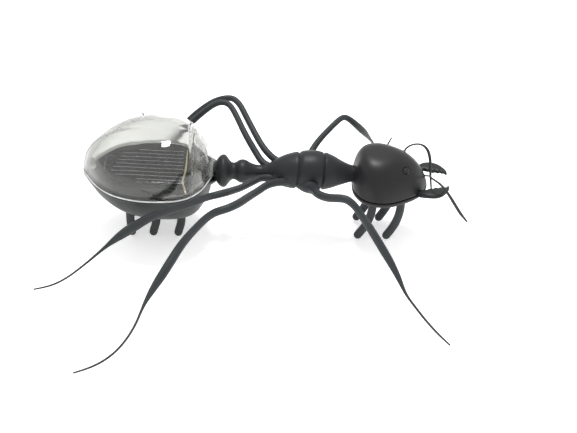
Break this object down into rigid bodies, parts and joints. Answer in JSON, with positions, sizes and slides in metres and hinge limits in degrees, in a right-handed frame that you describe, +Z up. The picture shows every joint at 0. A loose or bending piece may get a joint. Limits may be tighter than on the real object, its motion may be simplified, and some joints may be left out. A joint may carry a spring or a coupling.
{
  "type": "solar powered vibrating ant toy",
  "caption": "Solar powered toy ant: clear egg-shaped dome over a solar panel, two-bump waist, thorax with long thin flexible legs, egg-shaped head, stubby rubber feet.",
  "frame": {"origin": "middle of the overall footprint on the surface that the feet stand on", "axes": "+X towards the head, +Y to the ant's left, +Z up"},
  "size_m": [0.1074, 0.107, 0.0309],
  "materials": {
    "clear_dome": "clear polished moulding, slightly hazy",
    "black_shell": "satin moulded",
    "panel_laminate": "satin",
    "cell_glass": "gloss over dark silicon with fine silver lines",
    "tinned_ribbon": "tinned, satin",
    "steel": "satin",
    "motor_plastic": "natural nylon",
    "wire_red": "PVC",
    "wire_black": "PVC",
    "soft_black": "soft moulded, dull"
  },
  "bodies": {
    "abdomen": {"abdomen_base": "black_shell", "abdomen_dome": "clear_dome", "panel_tray": "black_shell", "solar_panel_board": "panel_laminate", "solar_cell": "cell_glass", "busbar_ribbon_front": "tinned_ribbon", "busbar_ribbon_rear": "tinned_ribbon", "solder_joints": "tinned_ribbon", "tray_screw_right": "steel", "tray_screw_left": "steel", "motor_can": "steel", "motor_end_cap": "motor_plastic", "motor_clip": "motor_plastic", "lead_wire_positive": "wire_red", "lead_wire_negative": "wire_black", "abdomen_foot_rear_right": "soft_black", "abdomen_foot_rear_left": "soft_black", "abdomen_foot_middle_right": "soft_black", "abdomen_foot_middle_left": "soft_black", "abdomen_foot_front_right": "soft_black", "abdomen_foot_front_left": "soft_black"},
    "motor_rotor": {"motor_shaft": "steel", "eccentric_weight": "steel"},
    "thorax_body": {"waist_connector": "soft_black", "thorax": "soft_black"},
    "head": {"head_upper_shell": "black_shell", "head_lower_shell": "black_shell", "head_screw": "steel", "mandible_right": "soft_black", "mandible_left": "soft_black", "head_foot_rear_right": "soft_black", "head_foot_rear_left": "soft_black", "head_foot_front_right": "soft_black", "head_foot_front_left": "soft_black"},
    "leg_front_right_body": {"leg_front_right": "soft_black"},
    "leg_front_left_body": {"leg_front_left": "soft_black"},
    "leg_middle_right_body": {"leg_middle_right": "soft_black"},
    "leg_middle_left_body": {"leg_middle_left": "soft_black"},
    "leg_hind_right_body": {"leg_hind_right": "soft_black"},
    "leg_hind_left_body": {"leg_hind_left": "soft_black"},
    "antenna_right_body": {"antenna_right": "soft_black"},
    "antenna_left_body": {"antenna_left": "soft_black"}
  },
  "joints": [
    {"name": "motor_spin", "type": "hinge", "parent": "abdomen", "child": "motor_rotor", "pos_m": [-0.02123, 0.00267, 0.0121], "axis": [1, 0, 0], "continuous": true},
    {"name": "waist_bend", "type": "hinge", "parent": "abdomen", "child": "thorax_body", "pos_m": [-0.01313, 0.00267, 0.018], "axis": [0, 0, 1], "range_deg": [-4, 4], "stiffness_Nm_per_rad": 0.02},
    {"name": "neck_bend", "type": "hinge", "parent": "thorax_body", "child": "head", "pos_m": [0.02637, 0.00267, 0.018], "axis": [0, 0, 1], "range_deg": [-8, 8], "stiffness_Nm_per_rad": 0.01},
    {"name": "hip_front_right", "type": "hinge", "parent": "thorax_body", "child": "leg_front_right_body", "pos_m": [0.01307, -0.00143, 0.0171], "axis": [0, 0, 1], "range_deg": [-8, 8], "stiffness_Nm_per_rad": 0.002},
    {"name": "hip_front_left", "type": "hinge", "parent": "thorax_body", "child": "leg_front_left_body", "pos_m": [0.01307, 0.00677, 0.0171], "axis": [0, 0, -1], "range_deg": [-8, 8], "stiffness_Nm_per_rad": 0.002},
    {"name": "hip_middle_right", "type": "hinge", "parent": "thorax_body", "child": "leg_middle_right_body", "pos_m": [0.00837, -0.00058, 0.0175], "axis": [0, 0, 1], "range_deg": [-3, 8], "stiffness_Nm_per_rad": 0.002},
    {"name": "hip_middle_left", "type": "hinge", "parent": "thorax_body", "child": "leg_middle_left_body", "pos_m": [0.00837, 0.00592, 0.0175], "axis": [0, 0, -1], "range_deg": [-3, 8], "stiffness_Nm_per_rad": 0.002},
    {"name": "hip_hind_right", "type": "hinge", "parent": "thorax_body", "child": "leg_hind_right_body", "pos_m": [0.00437, 0.00067, 0.0175], "axis": [0, 0, 1], "range_deg": [-1.5, 4], "stiffness_Nm_per_rad": 0.002},
    {"name": "hip_hind_left", "type": "hinge", "parent": "thorax_body", "child": "leg_hind_left_body", "pos_m": [0.00437, 0.00467, 0.0175], "axis": [0, 0, -1], "range_deg": [-1.5, 4], "stiffness_Nm_per_rad": 0.002},
    {"name": "antenna_sway_right", "type": "hinge", "parent": "head", "child": "antenna_right_body", "pos_m": [0.04117, 0.00007, 0.0183], "axis": [0, 0, 1], "range_deg": [-6, 10], "stiffness_Nm_per_rad": 0.0001},
    {"name": "antenna_sway_left", "type": "hinge", "parent": "head", "child": "antenna_left_body", "pos_m": [0.03797, 0.00687, 0.0201], "axis": [0, 0, -1], "range_deg": [-6, 10], "stiffness_Nm_per_rad": 0.0001}
  ]
}
